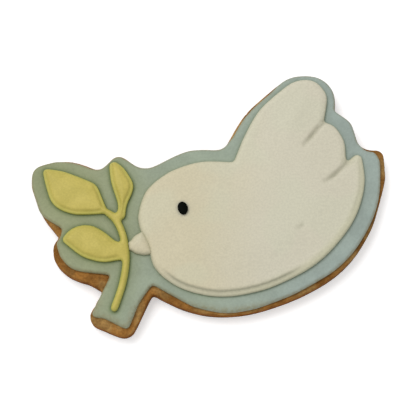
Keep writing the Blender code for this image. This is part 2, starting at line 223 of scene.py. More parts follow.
def smooth_outline(corners, spacing):
    """Evenly spaced points on a smooth closed curve through an outline's corners."""
    count = len(corners)
    samples = []
    for i in range(count):
        p0, p1, p2, p3 = (corners[(i + k) % count] for k in (-1, 0, 1, 2))
        t1 = np.hypot(*(p1 - p0)) ** 0.5
        t2 = t1 + np.hypot(*(p2 - p1)) ** 0.5
        t3 = t2 + np.hypot(*(p3 - p2)) ** 0.5
        for t in np.linspace(t1, t2, 16, endpoint=False):
            a1 = p0 + (p1 - p0) * t / t1
            a2 = p1 + (p2 - p1) * (t - t1) / (t2 - t1)
            a3 = p2 + (p3 - p2) * (t - t2) / (t3 - t2)
            b1 = a1 + (a2 - a1) * t / t2
            b2 = a2 + (a3 - a2) * (t - t1) / (t3 - t1)
            samples.append(b1 + (b2 - b1) * (t - t1) / (t2 - t1))
    return resampled(np.array(samples), spacing)


def inward_normals(edge):
    """The direction into a closed outline, at each of its points."""
    along = np.roll(edge, -1, axis=0) - np.roll(edge, 1, axis=0)
    along /= np.hypot(*along.T)[:, None]
    return np.stack([-along[:, 1], along[:, 0]], axis=1)


def nearest_on(points, line, closed=True):
    """For each point, the nearest place on a line and its distance."""
    a = line if closed else line[:-1]
    b = np.roll(line, -1, axis=0) if closed else line[1:]
    run = b - a
    length2 = np.maximum((run ** 2).sum(1), 1e-12)
    places = np.empty_like(points)
    for first in range(0, len(points), 1500):
        p = points[first:first + 1500, None, :]
        t = np.clip(((p - a) * run).sum(2) / length2, 0, 1)
        foot = a + run * t[:, :, None]
        gap2 = ((p - foot) ** 2).sum(2)
        best = gap2.argmin(1)
        places[first:first + 1500] = foot[np.arange(len(best)), best]
    return places, np.hypot(*(points - places).T)


def is_inside(points, edge):
    """Whether each point is inside a closed outline."""
    a = edge
    b = np.roll(edge, -1, axis=0)
    result = np.zeros(len(points), bool)
    for first in range(0, len(points), 1500):
        p = points[first:first + 1500, None, :]
        spans = (a[:, 1] > p[:, :, 1]) != (b[:, 1] > p[:, :, 1])
        with np.errstate(divide="ignore", invalid="ignore"):
            cross = a[:, 0] + (p[:, :, 1] - a[:, 1]) * (b[:, 0] - a[:, 0]) / (b[:, 1] - a[:, 1])
        result[first:first + 1500] = (spans & (p[:, :, 0] < cross)).sum(1) % 2 == 1
    return result


def foot_level(name):
    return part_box(name)[0].z


corners = {name: ring_at(node, foot_level(name)) for name, node in nodes.items() if name != "biscuit"}
print({name: len(ring) for name, ring in corners.items()})

# %% [markdown]
# ## A fine flat plate
# A puffed surface needs points where its curve is tightest, which is along its edge. The plate
# is therefore triangulated from three sets of points: the outline, rings that follow it at
# growing distances, and an even field in the middle. A Delaunay triangulation joins them.

# %% Plate helpers
def ring_points(edge, distances):
    """Points that follow an outline inside it, without those that a tight bend folds over."""
    inward = inward_normals(edge)
    kept = []
    for distance in distances:
        ring = edge + inward * distance
        _, gap = nearest_on(ring, edge)
        kept.append(ring[is_inside(ring, edge) & (gap > distance * 0.96)])
    return np.vstack(kept)


def field_points(edge, spacing, margin):
    """Points in even rows inside an outline, at least a margin from it."""
    low, high = edge.min(0), edge.max(0)
    rows = np.arange(low[1], high[1], spacing * math.sqrt(3) / 2)
    field = []
    for i, y in enumerate(rows):
        x = np.arange(low[0] + (i % 2) * spacing / 2, high[0], spacing)
        field.append(np.stack([x, np.full(len(x), y)], axis=1))
    field = np.vstack(field)
    field = field[is_inside(field, edge)]
    _, gap = nearest_on(field, edge)
    return field[gap > margin]


def triangulated(edge, inner):
    """Points and triangles that fill an outline, and which outline point each point is, or -1."""
    points = [Vector(p) for p in np.vstack([edge, inner])]
    found = delaunay_2d_cdt(points, [], [list(range(len(edge)))], 1, 1e-5)
    faces = [list(face) for face in found[2]]
    source = np.array([min(sources) if sources else len(edge) for sources in found[3]])
    source[source >= len(edge)] = -1
    return np.array([list(p) for p in found[0]]), faces, source


def edge_rings(shoulder, steps):
    """Ring distances that follow a quarter round evenly from its foot to its crown."""
    return [shoulder * (1 - math.cos(math.pi / 2 * k / steps)) for k in range(1, steps + 1)]


def new_piece(name, points, faces, loose=()):
    """An object from points in millimetres, with loose guide lines after its faces."""
    places = [tuple(p * MM) for p in np.asarray(points)]
    edges = []
    for line in loose:
        first = len(places)
        places += [tuple(p * MM) for p in np.asarray(line)]
        edges += [(first + k, first + k + 1) for k in range(len(line) - 1)]
    mesh = bpy.data.meshes.new(name)
    mesh.from_pydata(places, edges, faces)
    piece = bpy.data.objects.new(name, mesh)
    bpy.context.scene.collection.objects.link(piece)
    return piece


# %% [markdown]
# ## The rule for icing, as a Geometry Nodes tree
# The tree takes a flat plate and puffs it up. It finds the plate's own border, measures how far
# each point is from it, and turns that distance into a height. Every size it uses is an input
# with a name, so each piece of icing can set its own.

# %% Starting and ending a tree
ICING_INPUTS = {
    "Foot": 0.0, "Height": 0.0, "Shoulder": 0.0, "Dome": 0.0, "Dome Reach": 0.001,
    "Rim Height": 0.0, "Rim Width": 0.001, "Rim Shoulder": 0.001, "Middle Shoulder": 0.001,
    "Rim Wander": 0.0, "Crease Depth": 0.0, "Crease Width": 0.001, "Undercut": 0.0001,
    "Wave Height": 0.0, "Wave Size": 0.01, "Sink": 0.0,
}


def start_tree(name, numbers):
    """A new tree with a geometry input, named numbers, a seed and a material."""
    tree = bpy.data.node_groups.new(name, "GeometryNodeTree")
    face = tree.interface
    face.new_socket("Geometry", in_out="INPUT", socket_type="NodeSocketGeometry")
    for label, default in numbers.items():
        face.new_socket(label, in_out="INPUT", socket_type="NodeSocketFloat").default_value = default
    face.new_socket("Seed", in_out="INPUT", socket_type="NodeSocketFloat")
    face.new_socket("Material", in_out="INPUT", socket_type="NodeSocketMaterial")
    face.new_socket("Geometry", in_out="OUTPUT", socket_type="NodeSocketGeometry")
    given = tree.nodes.new("NodeGroupInput")
    return tree, {socket.name: socket for socket in given.outputs if socket.name}


def end_tree(tree, geometry, material):
    """Closes a tree: plain mesh, smooth shading, material."""
    smooth = add_node(tree, "GeometryNodeSetShadeSmooth", geometry)
    plain = add_node(tree, "GeometryNodeRealizeInstances", smooth.outputs[0])
    painted = add_node(tree, "GeometryNodeSetMaterial", plain.outputs[0])
    tree.links.new(material, painted.inputs["Material"])
    out = tree.nodes.new("NodeGroupOutput")
    tree.links.new(painted.outputs[0], out.inputs[0])
    return tree


# %% Small parts of a tree
def named(tree, name, kind="FLOAT"):
    """A named attribute."""
    return add_node(tree, "GeometryNodeInputNamedAttribute", name, data_type=kind).outputs[0]


def scaled(tree, vector, factor):
    """A vector times a number."""
    made = add_node(tree, "ShaderNodeVectorMath", vector, operation="SCALE")
    tree.links.new(factor, made.inputs["Scale"])
    return made.outputs[0]


def upwards(tree, height):
    """A vector that points up by a height."""
    return add_node(tree, "ShaderNodeCombineXYZ", 0.0, 0.0, height).outputs[0]


def noise_field(tree, place, seed, scale, detail=2.0):
    """Smooth noise from 0 to 1 at a place, different for each seed."""
    made = add_node(tree, "ShaderNodeTexNoise", noise_dimensions="4D")
    for label, value in (("Vector", place), ("W", seed), ("Scale", scale)):
        if isinstance(value, bpy.types.NodeSocket):
            tree.links.new(value, made.inputs[label])
        else:
            made.inputs[label].default_value = value
    made.inputs["Detail"].default_value = detail
    return made.outputs["Fac"]


def quarter_round(tree, distance, width):
    """0 at the edge, 1 from width inwards, on a quarter circle."""
    share = calc(tree, "MINIMUM", calc(tree, "DIVIDE", distance, width), 1.0)
    short = calc(tree, "SUBTRACT", 1.0, share)
    return calc(tree, "SQRT", calc(tree, "SUBTRACT", 1.0, calc(tree, "MULTIPLY", short, short)))


def bell(tree, distance):
    """1 at no distance, and less on both sides along a bell curve."""
    square = calc(tree, "MULTIPLY", distance, distance)
    return calc(tree, "EXPONENT", calc(tree, "MULTIPLY", square, -1.0))


def edges_of_faces(tree, count, faces):
    """Selects the edges at which this many faces meet."""
    picked = add_node(tree, "FunctionNodeCompare", data_type="INT", operation="EQUAL")
    tree.links.new(count, picked.inputs[2])
    picked.inputs[3].default_value = faces
    return picked.outputs[0]


# %% [markdown]
# ### Height
# A quarter round at the edge turns into a low dome towards the middle. Where a piped rim shows,
# the rim stands lower than the flooded middle, and the middle rises behind it as a second step.

# %% Height of the icing
def icing_height(tree, size, place, gap, rimmed):
    """The height over each point, and how wide the rim is there."""
    rise = calc(tree, "SUBTRACT", size["Height"], size["Foot"])
    plain = calc(tree, "MULTIPLY_ADD", rise, quarter_round(tree, gap, size["Shoulder"]), size["Foot"])
    rim_rise = calc(tree, "SUBTRACT", size["Rim Height"], size["Foot"])
    rim_round = quarter_round(tree, gap, size["Rim Shoulder"])
    rim = calc(tree, "MULTIPLY_ADD", rim_rise, rim_round, size["Foot"])
    wander = calc(tree, "SUBTRACT", noise_field(tree, place, size["Seed"], 500.0), 0.5)
    rim_width = calc(tree, "MULTIPLY_ADD", wander, size["Rim Wander"], size["Rim Width"])
    beyond = calc(tree, "MAXIMUM", calc(tree, "SUBTRACT", gap, rim_width), 0.0)
    over = calc(tree, "SUBTRACT", size["Height"], size["Rim Height"])
    middle = remap(tree, beyond, 0.0, size["Middle Shoulder"])
    stepped = calc(tree, "MULTIPLY_ADD", over, middle, rim)
    step_up = calc(tree, "MULTIPLY", rimmed, calc(tree, "SUBTRACT", stepped, plain))
    level = calc(tree, "ADD", plain, step_up)
    dome = remap(tree, gap, 0.0, size["Dome Reach"])
    return calc(tree, "MULTIPLY_ADD", size["Dome"], dome, level), rim_width


# %% [markdown]
# ### Creases
# Guide lines lie loose in the same mesh. Each guide point says how hard it presses, and the
# press fades to both sides. The grooves are kept as an attribute as well, together with the
# valley behind a rim, so that a material can paint shade there.

# %% Creases and grooves
def pressed_in(tree, size, guides):
    """How hard the guide lines press at each point."""
    line = add_node(tree, "GeometryNodeProximity", guides, target_element="EDGES")
    index = add_node(tree, "GeometryNodeSampleNearest", guides, domain="POINT").outputs[0]
    pressed = add_node(tree, "GeometryNodeSampleIndex", guides, named(tree, "press"),
                       data_type="FLOAT", domain="POINT")
    tree.links.new(index, pressed.inputs["Index"])
    across = calc(tree, "DIVIDE", line.outputs["Distance"], size["Crease Width"])
    spread = calc(tree, "MULTIPLY", bell(tree, across), calc(tree, "LESS_THAN", across, 6.0))
    return calc(tree, "MULTIPLY", pressed.outputs[0], spread)


def groove_at(tree, press, gap, rim_width, rimmed):
    """1 in a crease or in the valley behind a rim, 0 on the open surface."""
    behind_rim = calc(tree, "SUBTRACT", calc(tree, "SUBTRACT", gap, rim_width), 0.0002)
    valley = bell(tree, calc(tree, "DIVIDE", behind_rim, 0.0003))
    valley = calc(tree, "MULTIPLY", valley, rimmed)
    return calc(tree, "MAXIMUM", calc(tree, "MAXIMUM", press, 0.0), valley)


# %% [markdown]
# ### Edge and floor
# The border goes down in two steps, the second one slightly under, as a bead of icing sits on
# a surface. A floor made from the same flat plate closes the piece.

# %% Edge and floor
def closed_below(tree, size, flat, top, is_border, near, place):
    """Draws the border of the raised top down and welds it to a floor."""
    into_plate = named(tree, "inward", "FLOAT_VECTOR")
    half_down = calc(tree, "MULTIPLY", size["Foot"], -0.5)
    last_down = calc(tree, "SUBTRACT", half_down, size["Sink"])
    wall, selection = top, is_border
    for share, down in ((0.25, half_down), (0.75, last_down)):
        drawn = add_node(tree, "GeometryNodeExtrudeMesh", wall, selection, mode="EDGES")
        drawn.inputs["Offset Scale"].default_value = 0.0
        under = scaled(tree, into_plate, calc(tree, "MULTIPLY", size["Undercut"], share))
        move = vector_calc(tree, "ADD", under, upwards(tree, down))
        pulled = add_node(tree, "GeometryNodeSetPosition", drawn.outputs["Mesh"], drawn.outputs["Top"])
        tree.links.new(move, pulled.inputs["Offset"])
        wall, selection = pulled.outputs[0], drawn.outputs["Top"]
    off_edge = vector_calc(tree, "SUBTRACT", place, near.outputs["Position"])
    reach = calc(tree, "MULTIPLY", size["Undercut"], 4.0)
    tucked = calc(tree, "SUBTRACT", 1.0, calc(tree, "DIVIDE", near.outputs["Distance"], reach))
    tucked = calc(tree, "MAXIMUM", tucked, 0.0)
    near_edge = scaled(tree, vector_calc(tree, "NORMALIZE", off_edge), tucked)
    sideways = scaled(tree, vector_calc(tree, "ADD", into_plate, near_edge), size["Undercut"])
    sunk = upwards(tree, calc(tree, "MULTIPLY", size["Sink"], -1.0))
    floor = add_node(tree, "GeometryNodeSetPosition", flat)
    tree.links.new(vector_calc(tree, "ADD", sideways, sunk), floor.inputs["Offset"])
    turned = add_node(tree, "GeometryNodeFlipFaces", floor.outputs[0])
    joined = tree.nodes.new("GeometryNodeJoinGeometry")
    tree.links.new(wall, joined.inputs[0])
    tree.links.new(turned.outputs[0], joined.inputs[0])
    welded = add_node(tree, "GeometryNodeMergeByDistance", joined.outputs[0])
    welded.inputs["Distance"].default_value = 1e-6
    return welded.outputs[0]


# %% Puffed icing tree
def puffed_icing_tree():
    """The whole rule: a plate and its guide lines go in, one closed piece of icing comes out."""
    tree, size = start_tree("puffed_icing", ICING_INPUTS)
    count = add_node(tree, "GeometryNodeInputMeshEdgeNeighbors").outputs[0]
    is_guide = edges_of_faces(tree, count, 0)
    is_border = edges_of_faces(tree, count, 1)
    parts = add_node(tree, "GeometryNodeSeparateGeometry", size["Geometry"], domain="EDGE")
    tree.links.new(is_guide, parts.inputs[1])
    guides, plate = parts.outputs[0], parts.outputs[1]
    border = add_node(tree, "GeometryNodeSeparateGeometry", plate, domain="EDGE")
    tree.links.new(is_border, border.inputs[1])
    place = add_node(tree, "GeometryNodeInputPosition").outputs[0]
    near = add_node(tree, "GeometryNodeProximity", border.outputs[0], target_element="EDGES")
    gap = near.outputs["Distance"]
    rimmed = named(tree, "rimmed")

    level, rim_width = icing_height(tree, size, place, gap, rimmed)
    press = pressed_in(tree, size, guides)
    depth = calc(tree, "MULTIPLY", press, size["Crease Depth"])
    depth = calc(tree, "MULTIPLY", depth, remap(tree, gap, 0.0, 0.0006))
    level = calc(tree, "SUBTRACT", level, depth)
    # Dried icing is never quite level.
    wave = noise_field(tree, place, size["Seed"], calc(tree, "DIVIDE", 1.0, size["Wave Size"]))
    swing = calc(tree, "MULTIPLY", calc(tree, "SUBTRACT", wave, 0.5), size["Wave Height"])
    swing = calc(tree, "MULTIPLY", swing, remap(tree, gap, 0.0, 0.0015))
    level = calc(tree, "MAXIMUM", calc(tree, "ADD", level, swing), size["Foot"])

    groove = groove_at(tree, press, gap, rim_width, rimmed)
    marked = plate
    for name, value in (("edge_gap", gap), ("groove", groove)):
        stored = add_node(tree, "GeometryNodeStoreNamedAttribute", marked, None, name,
                          data_type="FLOAT", domain="POINT")
        tree.links.new(value, stored.inputs["Value"])
        marked = stored.outputs[0]
    top = add_node(tree, "GeometryNodeSetPosition", marked)
    tree.links.new(upwards(tree, level), top.inputs["Offset"])
    closed = closed_below(tree, size, marked, top.outputs[0], is_border, near, place)
    return end_tree(tree, closed, size["Material"])


PUFFED_ICING = puffed_icing_tree()
print("puffed icing tree:", len(PUFFED_ICING.nodes), "nodes")

# %% [markdown]
# ## From an outline to a piece
# A plate needs close rings of points where the edge bends and a loose field of them inside.
# The tree runs on the plate once, and the plain mesh that comes out is kept.

# %% Growing a piece with a tree
def grow(piece, tree, values):
    """Run a tree on a piece once and keep the plain mesh that comes out."""
    modifier = piece.modifiers.new(tree.name, "NODES")
    modifier.node_group = tree
    for socket in tree.interface.items_tree:
        if socket.in_out == "INPUT" and socket.name in values:
            modifier[socket.identifier] = values[socket.name]
    bpy.context.view_layer.update()
    evaluated = piece.evaluated_get(bpy.context.evaluated_depsgraph_get())
    mesh = bpy.data.meshes.new_from_object(evaluated)
    piece.modifiers.clear()
    flat = piece.data
    piece.data = mesh
    mesh.name = piece.name
    bpy.data.meshes.remove(flat)
    form = bmesh.new()
    form.from_mesh(mesh)
    bmesh.ops.recalc_face_normals(form, faces=form.faces)
    open_edges = sum(1 for e in form.edges if len(e.link_faces) != 2)
    volume = form.calc_volume(signed=True)
    if volume < 0:
        bmesh.ops.reverse_faces(form, faces=form.faces)
    form.to_mesh(mesh)
    form.free()
    mesh.shade_smooth()
    print(piece.name, len(mesh.polygons), "faces,", open_edges, "open edges,",
          round(abs(volume) * 1e6, 2), "cm3")
    return piece


def icing_piece(name, edge, level, spacing, material, values, rimmed=None, lines=(), press=()):
    """A puffed piece of icing that stands at a level, from its outline and sizes in mm."""
    rings = edge_rings(values["Shoulder"], 7)
    if rimmed is not None:
        middle = [values["Rim Width"] + values["Middle Shoulder"] * k / 4 for k in range(5)]
        rings = edge_rings(values["Rim Shoulder"], 5) + middle
    margin = max(rings) + spacing * 0.6
    inner = np.vstack([ring_points(edge, rings), field_points(edge, spacing, margin)])
    flat, faces, source = triangulated(edge, inner)
    points = np.column_stack([flat, np.full(len(flat), level)])
    guides = [np.column_stack([line, np.full(len(line), level)]) for line in lines]
    piece = new_piece(name, points, faces, guides)
    mesh = piece.data
    into = np.zeros((len(mesh.vertices), 3), np.float32)
    on_edge = np.flatnonzero(source >= 0)
    into[on_edge, :2] = inward_normals(edge)[source[on_edge]]
    mesh.attributes.new("inward", "FLOAT_VECTOR", "POINT").data.foreach_set("vector", into.ravel())
    pressing = np.zeros(len(mesh.vertices), np.float32)
    if len(press):
        pressing[len(flat):] = np.concatenate(press)
    mesh.attributes.new("press", "FLOAT", "POINT").data.foreach_set("value", pressing)
    share = np.zeros(len(mesh.vertices), np.float32)
    if rimmed is not None:
        share[:len(flat)] = rimmed(flat)
    mesh.attributes.new("rimmed", "FLOAT", "POINT").data.foreach_set("value", share)
    metric = {key: value if key == "Seed" else value * MM for key, value in values.items()}
    metric["Material"] = material
    return grow(piece, PUFFED_ICING, metric)


# %% [markdown]
# ## Colours of icing
# Dried royal icing is matt with a faint silkiness. Food colour never mixes quite evenly, so each
# icing drifts between two tints and has a very fine sugar grain that catches the light. Each is
# darker along its edge and in its grooves, and that darker tint is painted shade.

# %% Material helpers
def start_material(name, roughness, shine):
    """A new material: itself, its node tree and its shader node."""
    made = bpy.data.materials.new(name)
    made.use_nodes = True
    shader = made.node_tree.nodes["Principled BSDF"]
    shader.inputs["Roughness"].default_value = roughness
    shader.inputs["Specular IOR Level"].default_value = shine
    return made, made.node_tree, shader


def object_place(tree):
    return add_node(tree, "ShaderNodeTexCoord").outputs["Object"]


def noise(tree, place, size, detail=3.0):
    """Noise whose lumps are about one size, in millimetres."""
    made = add_node(tree, "ShaderNodeTexNoise", place)
    made.inputs["Scale"].default_value = 1 / (size * MM)
    made.inputs["Detail"].default_value = detail
    return made.outputs["Fac"]


def blend(tree, share, first, second, kind="MIX"):
    """Two colours mixed by a share."""
    made = add_node(tree, "ShaderNodeMix", data_type="RGBA", blend_type=kind)
    for socket, value in ((made.inputs[0], share), (made.inputs[6], first), (made.inputs[7], second)):
        if isinstance(value, bpy.types.NodeSocket):
            tree.links.new(value, socket)
        elif isinstance(value, tuple):
            socket.default_value = (*value, 1.0)
        else:
            socket.default_value = value
    return made.outputs[2]


def bump(tree, height, depth, before=None):
    """A bump of a depth in millimetres from a height of 0 to 1."""
    made = add_node(tree, "ShaderNodeBump")
    made.inputs["Strength"].default_value = 1.0
    made.inputs["Distance"].default_value = depth * MM
    tree.links.new(height, made.inputs["Height"])
    if before is not None:
        tree.links.new(before, made.inputs["Normal"])
    return made.outputs[0]


def edge_share(tree, width):
    """1 at a piece's outline, 0 from a width inwards."""
    gap = add_node(tree, "ShaderNodeAttribute", attribute_name="edge_gap").outputs["Fac"]
    return remap(tree, gap, 0.0, width * MM, 1.0, 0.0)


def shaded_in_grooves(tree, colour, groove_shade, share):
    """A colour with painted shade in a piece's creases and beside its rim."""
    groove = add_node(tree, "ShaderNodeAttribute", attribute_name="groove").outputs["Fac"]
    return blend(tree, calc(tree, "MULTIPLY", groove, share), colour, groove_shade)


def icing_material(name, tints, edge_shade, edge_width, groove_shade, roughness, shine, drift=14.0):
    """Icing that drifts between two tints, with painted shade at its edge and in its grooves."""
    made, tree, shader = start_material(name, roughness, shine)
    place = object_place(tree)
    patch = remap(tree, noise(tree, place, drift), 0.35, 0.65)
    colour = blend(tree, patch, *tints)
    # Painted shade: a darker tint along each piece's outline.
    colour = blend(tree, calc(tree, "MULTIPLY", edge_share(tree, edge_width), 0.7), colour, edge_shade)
    # Painted shade in the creases and in the valley behind a rim.
    colour = shaded_in_grooves(tree, colour, groove_shade, 0.30)
    finish_icing(tree, shader, place, colour)
    return made


def finish_icing(tree, shader, place, colour):
    """The specks, grain and slow ripple that all dried icing has."""
    speck = remap(tree, noise(tree, place, 0.6, 4.0), 0.3, 0.7, 0.95, 1.05)
    tone = add_node(tree, "ShaderNodeCombineColor", speck, speck, speck).outputs[0]
    tree.links.new(blend(tree, 1.0, colour, tone, "MULTIPLY"), shader.inputs["Base Color"])
    grain = bump(tree, noise(tree, place, 0.22, 2.0), 0.012)
    ripple = bump(tree, noise(tree, place, 2.8, 2.0), 0.05, grain)
    tree.links.new(ripple, shader.inputs["Normal"])


# The green's edge and groove colours are painted shade: darker olive along its border and behind its
# rims.
GREEN = icing_material("green_icing", ((0.545, 0.455, 0.108), (0.490, 0.412, 0.090)),
                       (0.392, 0.395, 0.080), 0.9, (0.290, 0.300, 0.050), 0.55, 0.30, drift=5.0)
BLACK = icing_material("black_icing", ((0.002, 0.003, 0.002), (0.001, 0.002, 0.001)),
                       (0.002, 0.003, 0.002), 0.5, (0.001, 0.002, 0.001), 0.60, 0.04)


# %% [markdown]
# ### White icing
# The white is a warm cream with a little of its neighbours in it. Much of its colour is painted
# light: warm at the head and cooler by the feathers, as under a warm lamp on the left and a cool
# one on the right, a yellower band of painted reflected light along the lower right edge, and
# painted shade along its outline, on the belly's lower layer and in its creases. Round the eye
# it is greyer, partly the black run in and partly painted shade.

# %% White icing
def white_material():
    """Painted light: warm at the head, cooler by the feathers, a reflected yellow at the lower right.
    """
    made, tree, shader = start_material("white_icing", 0.55, 0.30)
    place = object_place(tree)
    apart = add_node(tree, "ShaderNodeSeparateXYZ", place).outputs
    # Painted light: warmer on the left and cooler on the right, as under a warm lamp and a cool one.
    patch = calc(tree, "MULTIPLY_ADD", noise(tree, place, 16.0), 0.02, apart[0])
    painted_cool_light = remap(tree, patch, 0.000, 0.034)
    colour = blend(tree, painted_cool_light, (0.582, 0.528, 0.366), (0.594, 0.561, 0.440))
    elsewhere = vector_calc(tree, "ADD", place, (0.3, 0.1, 0.2))
    mint = remap(tree, noise(tree, elsewhere, 15.0, 1.0), 0.48, 0.62)
    colour = blend(tree, calc(tree, "MULTIPLY", mint, 0.25), colour, (0.565, 0.580, 0.430))
    # Painted reflected light: a yellower band along the lower right edge.
    slant = calc(tree, "SUBTRACT", apart[0], apart[1])
    lower_right = remap(tree, slant, 0.018, 0.044)
    painted_reflection = calc(tree, "MULTIPLY", edge_share(tree, 3.2), lower_right)
    colour = blend(tree, calc(tree, "MULTIPLY", painted_reflection, 0.6), colour, (0.570, 0.560, 0.360))
    # Painted shade on the belly's lower layer, near the outline.
    lower_layer_shade = add_node(tree, "ShaderNodeAttribute", attribute_name="rimmed").outputs["Fac"]
    lower_layer_shade = calc(tree, "MULTIPLY", lower_layer_shade, edge_share(tree, 2.4))
    colour = blend(tree, calc(tree, "MULTIPLY", lower_layer_shade, 0.7), colour, (0.440, 0.425, 0.310))
    rim_shade = calc(tree, "MULTIPLY", edge_share(tree, 0.9), 0.6)
    colour = blend(tree, rim_shade, colour, (0.440, 0.430, 0.300))
    # Painted shade in the creases and in the valley behind the belly's rim.
    colour = shaded_in_grooves(tree, colour, (0.290, 0.285, 0.200), 0.75)
    # Greyer round the eye: partly the black run in, partly painted shade.
    bleed_and_shade = add_node(tree, "ShaderNodeAttribute", attribute_name="bleed_and_shade").outputs["Fac"]
    colour = blend(tree, bleed_and_shade, colour, (0.240, 0.270, 0.260))
    finish_icing(tree, shader, place, colour)
    return made


WHITE = white_material()
print("white icing:", len(WHITE.node_tree.nodes), "nodes")


# %% [markdown]
# ### Blue-green icing
# The flood is the thinnest icing, so it shows most of what happened to it: its tint drifts from
# one side to the other, the green ran into it, and its edge picked up brown crumbs. The drift is
# partly its own uneven tint and partly painted light, warm from the left and cool from the lower
# right. The dark band beside the leaves is partly their green and partly painted contact shadow,
# and beside the dove and its beak it is painted contact shadow only.

# %% Blue-green icing
def blue_material():
    """The flood turns from grey-green on the left to a lighter grey-blue on the right and lower
    down: partly its own uneven tint, partly painted warm and cool light.

    Colour from the leaves has run a little into it, painted contact shadow darkens it beside the
    leaves and the dove, and crumbs darken its outer edge."""
    made, tree, shader = start_material("blue_icing", 0.55, 0.30)
    place = object_place(tree)
    apart = add_node(tree, "ShaderNodeSeparateXYZ", place).outputs
    # Partly the icing's own uneven tint, partly painted light: grey-green on the left, a lighter
    # grey-blue to the right and lower down.
    shifted = calc(tree, "MULTIPLY_ADD", noise(tree, place, 22.0, 2.0), 0.03, apart[0])
    shifted = calc(tree, "MULTIPLY_ADD", calc(tree, "MINIMUM", apart[1], 0.0), -0.2, shifted)
    left = remap(tree, shifted, -0.030, 0.012)
    right = remap(tree, shifted, 0.012, 0.060)
    colour = blend(tree, left, (0.285, 0.309, 0.172), (0.292, 0.345, 0.262))
    colour = blend(tree, right, colour, (0.300, 0.360, 0.322))
    patch = remap(tree, noise(tree, place, 8.0), 0.3, 0.7, 0.93, 1.07)
    tone = add_node(tree, "ShaderNodeCombineColor", patch, patch, patch).outputs[0]
    colour = blend(tree, 1.0, colour, tone, "MULTIPLY")
    # A darker green beside the decor: the leaves' colour run in, and painted contact shadow.
    bleed_and_shade = add_node(tree, "ShaderNodeAttribute", attribute_name="bleed_and_shade").outputs["Fac"]
    colour = blend(tree, bleed_and_shade, colour, (0.105, 0.150, 0.042))
    scattered = remap(tree, noise(tree, place, 0.9), 0.3, 0.7, 0.25, 0.8)
    crumbs = calc(tree, "MULTIPLY", edge_share(tree, 1.0), scattered)
    lowest = remap(tree, apart[1], -0.0325, -0.0285, 0.9, 0.0)
    worn = calc(tree, "MULTIPLY", edge_share(tree, 2.6), calc(tree, "MULTIPLY", lowest, scattered))
    crumbs = calc(tree, "MAXIMUM", crumbs, worn)
    colour = blend(tree, crumbs, colour, (0.235, 0.205, 0.105))
    finish_icing(tree, shader, place, colour)
    return made


BLUE = blue_material()
print("blue icing:", len(BLUE.node_tree.nodes), "nodes")


# %% [markdown]
# ## Baked dough
# The cut side of a biscuit is golden and browns towards the tray. Its top stays paler, the
# crumb is open and a little cracked, and the bottom is the brownest, in mottled patches where
# it lay on the tray.

# %% Dough material
def dough_material():
    """Golden towards the top of the wall, browner in the middle, brownest at the bottom."""
    made, tree, shader = start_material("baked_dough", 0.9, 0.08)
    place = object_place(tree)
    height = add_node(tree, "ShaderNodeSeparateXYZ", place).outputs[2]
    mottle = noise(tree, place, 3.5, 4.0)
    fine = noise(tree, place, 0.6, 4.0)
    wavy = calc(tree, "MULTIPLY_ADD", calc(tree, "SUBTRACT", mottle, 0.5), 0.0032, height)
    low = remap(tree, wavy, 0.0004, 0.0028)
    high = remap(tree, wavy, 0.0038, 0.0056)
    colour = blend(tree, low, (0.134, 0.041, 0.004), (0.254, 0.093, 0.012))
    golden = remap(tree, noise(tree, place, 6.5, 2.0), 0.42, 0.60, 0.35, 1.0)
    colour = blend(tree, calc(tree, "MULTIPLY", high, golden), colour, (0.330, 0.190, 0.062))
    patch = remap(tree, mottle, 0.35, 0.65, 0.76, 1.18)
    speck = remap(tree, fine, 0.3, 0.7, 0.82, 1.16)
    # Painted shade: darker towards the right side, away from the lamp.
    across = add_node(tree, "ShaderNodeSeparateXYZ", place).outputs[0]
    right_side_shade = remap(tree, across, 0.010, 0.048, 1.0, 0.78)
    both = calc(tree, "MULTIPLY", calc(tree, "MULTIPLY", patch, speck), right_side_shade)
    tone = add_node(tree, "ShaderNodeCombineColor", both, both, both).outputs[0]
    colour = blend(tree, 1.0, colour, tone, "MULTIPLY")
    tree.links.new(colour, shader.inputs["Base Color"])
    grit = bump(tree, noise(tree, place, 0.35, 3.0), 0.06)
    crumb = bump(tree, noise(tree, place, 1.3, 3.0), 0.12, grit)
    tree.links.new(crumb, shader.inputs["Normal"])
    return made


DOUGH = dough_material()
print("baked dough:", len(DOUGH.node_tree.nodes), "nodes")


# %% [markdown]
# ## Biscuit
# The biscuit was cut from a rolled sheet, so its side is a band of even height with a sharper
# bottom edge and a rounder top edge. The band is lofted from rings of points, and plates close
# it. A second tree then roughens it: a slow swell, an open crumb and scattered pits.

# %% Crumb tree
CRUMB_INPUTS = {"Swell": 0.0, "Crumb": 0.0, "Pit Depth": 0.0, "Pit Size": 0.001, "Held In": 0.0}


